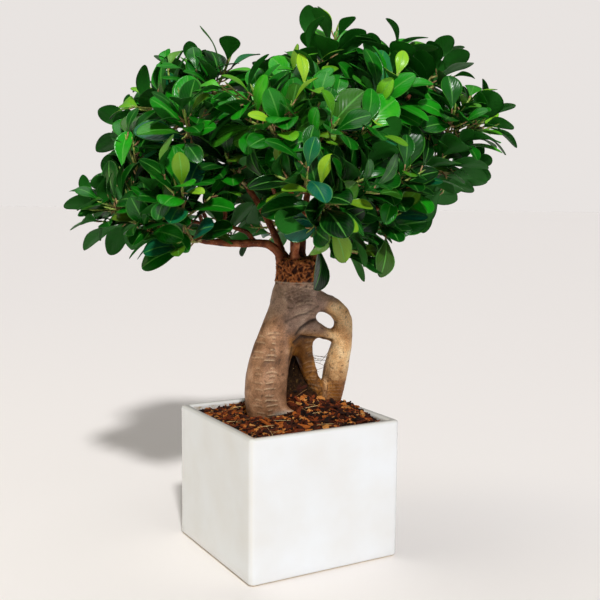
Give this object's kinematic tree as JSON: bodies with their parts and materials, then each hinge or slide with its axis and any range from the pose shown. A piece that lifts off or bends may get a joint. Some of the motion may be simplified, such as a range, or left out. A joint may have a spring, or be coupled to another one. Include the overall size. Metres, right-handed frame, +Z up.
{
  "type": "bonsai tree in a pot",
  "caption": "Small grafted ficus bonsai with swollen aerial roots and a dense crown of oval glossy leaves, in a square white glazed planter.",
  "frame": {"origin": "centre of the planter's flat base, on the surface it stands on", "axes": "+Z up; +X and +Y square to the planter's sides; the tree's front faces between -X and -Y, 30 degrees from -Y"},
  "size_m": [0.3739, 0.3381, 0.5242],
  "materials": {
    "pot_glaze": "gloss white glaze",
    "soil": "matte crumbly",
    "mulch": "matte fibrous",
    "root_bark": "satin bark",
    "branch_bark": "matte bark",
    "leaves": "waxy gloss"
  },
  "bodies": {
    "root": {"back_branch": "branch_bark", "back_spray_1": "leaves", "back_spray_2": "leaves", "back_spray_3": "leaves", "back_spray_4": "leaves", "back_spray_5": "leaves", "back_spray_6": "leaves", "back_spray_7": "leaves", "bark_mulch": "mulch", "ceramic_pot": "pot_glaze", "front_branch": "branch_bark", "front_spray_1": "leaves", "front_spray_2": "leaves", "front_spray_3": "leaves", "front_spray_4": "leaves", "front_spray_5": "leaves", "front_top_branch": "branch_bark", "front_top_spray_1": "leaves", "front_top_spray_2": "leaves", "front_top_spray_3": "leaves", "front_top_spray_4": "leaves", "front_top_spray_5": "leaves", "leader": "branch_bark", "leader_spray_1": "leaves", "leader_spray_2": "leaves", "leader_spray_3": "leaves", "leader_spray_4": "leaves", "leader_spray_5": "leaves", "leader_spray_6": "leaves", "left_branch": "branch_bark", "left_spray_1": "leaves", "left_spray_2": "leaves", "left_spray_3": "leaves", "left_spray_4": "leaves", "left_spray_5": "leaves", "left_spray_6": "leaves", "left_spray_7": "leaves", "left_spray_8": "leaves", "potting_soil": "soil", "right_branch": "branch_bark", "right_spray_1": "leaves", "right_spray_2": "leaves", "right_spray_3": "leaves", "right_spray_4": "leaves", "right_spray_5": "leaves", "right_spray_6": "leaves", "right_spray_7": "leaves", "right_spray_8": "leaves", "rootstock": "root_bark", "upper_left_branch": "branch_bark", "upper_left_spray_1": "leaves", "upper_left_spray_2": "leaves", "upper_left_spray_3": "leaves", "upper_left_spray_4": "leaves", "upper_left_spray_5": "leaves", "upper_left_spray_6": "leaves", "upper_right_branch": "branch_bark", "upper_right_spray_1": "leaves", "upper_right_spray_2": "leaves", "upper_right_spray_3": "leaves"}
  },
  "joints": []
}
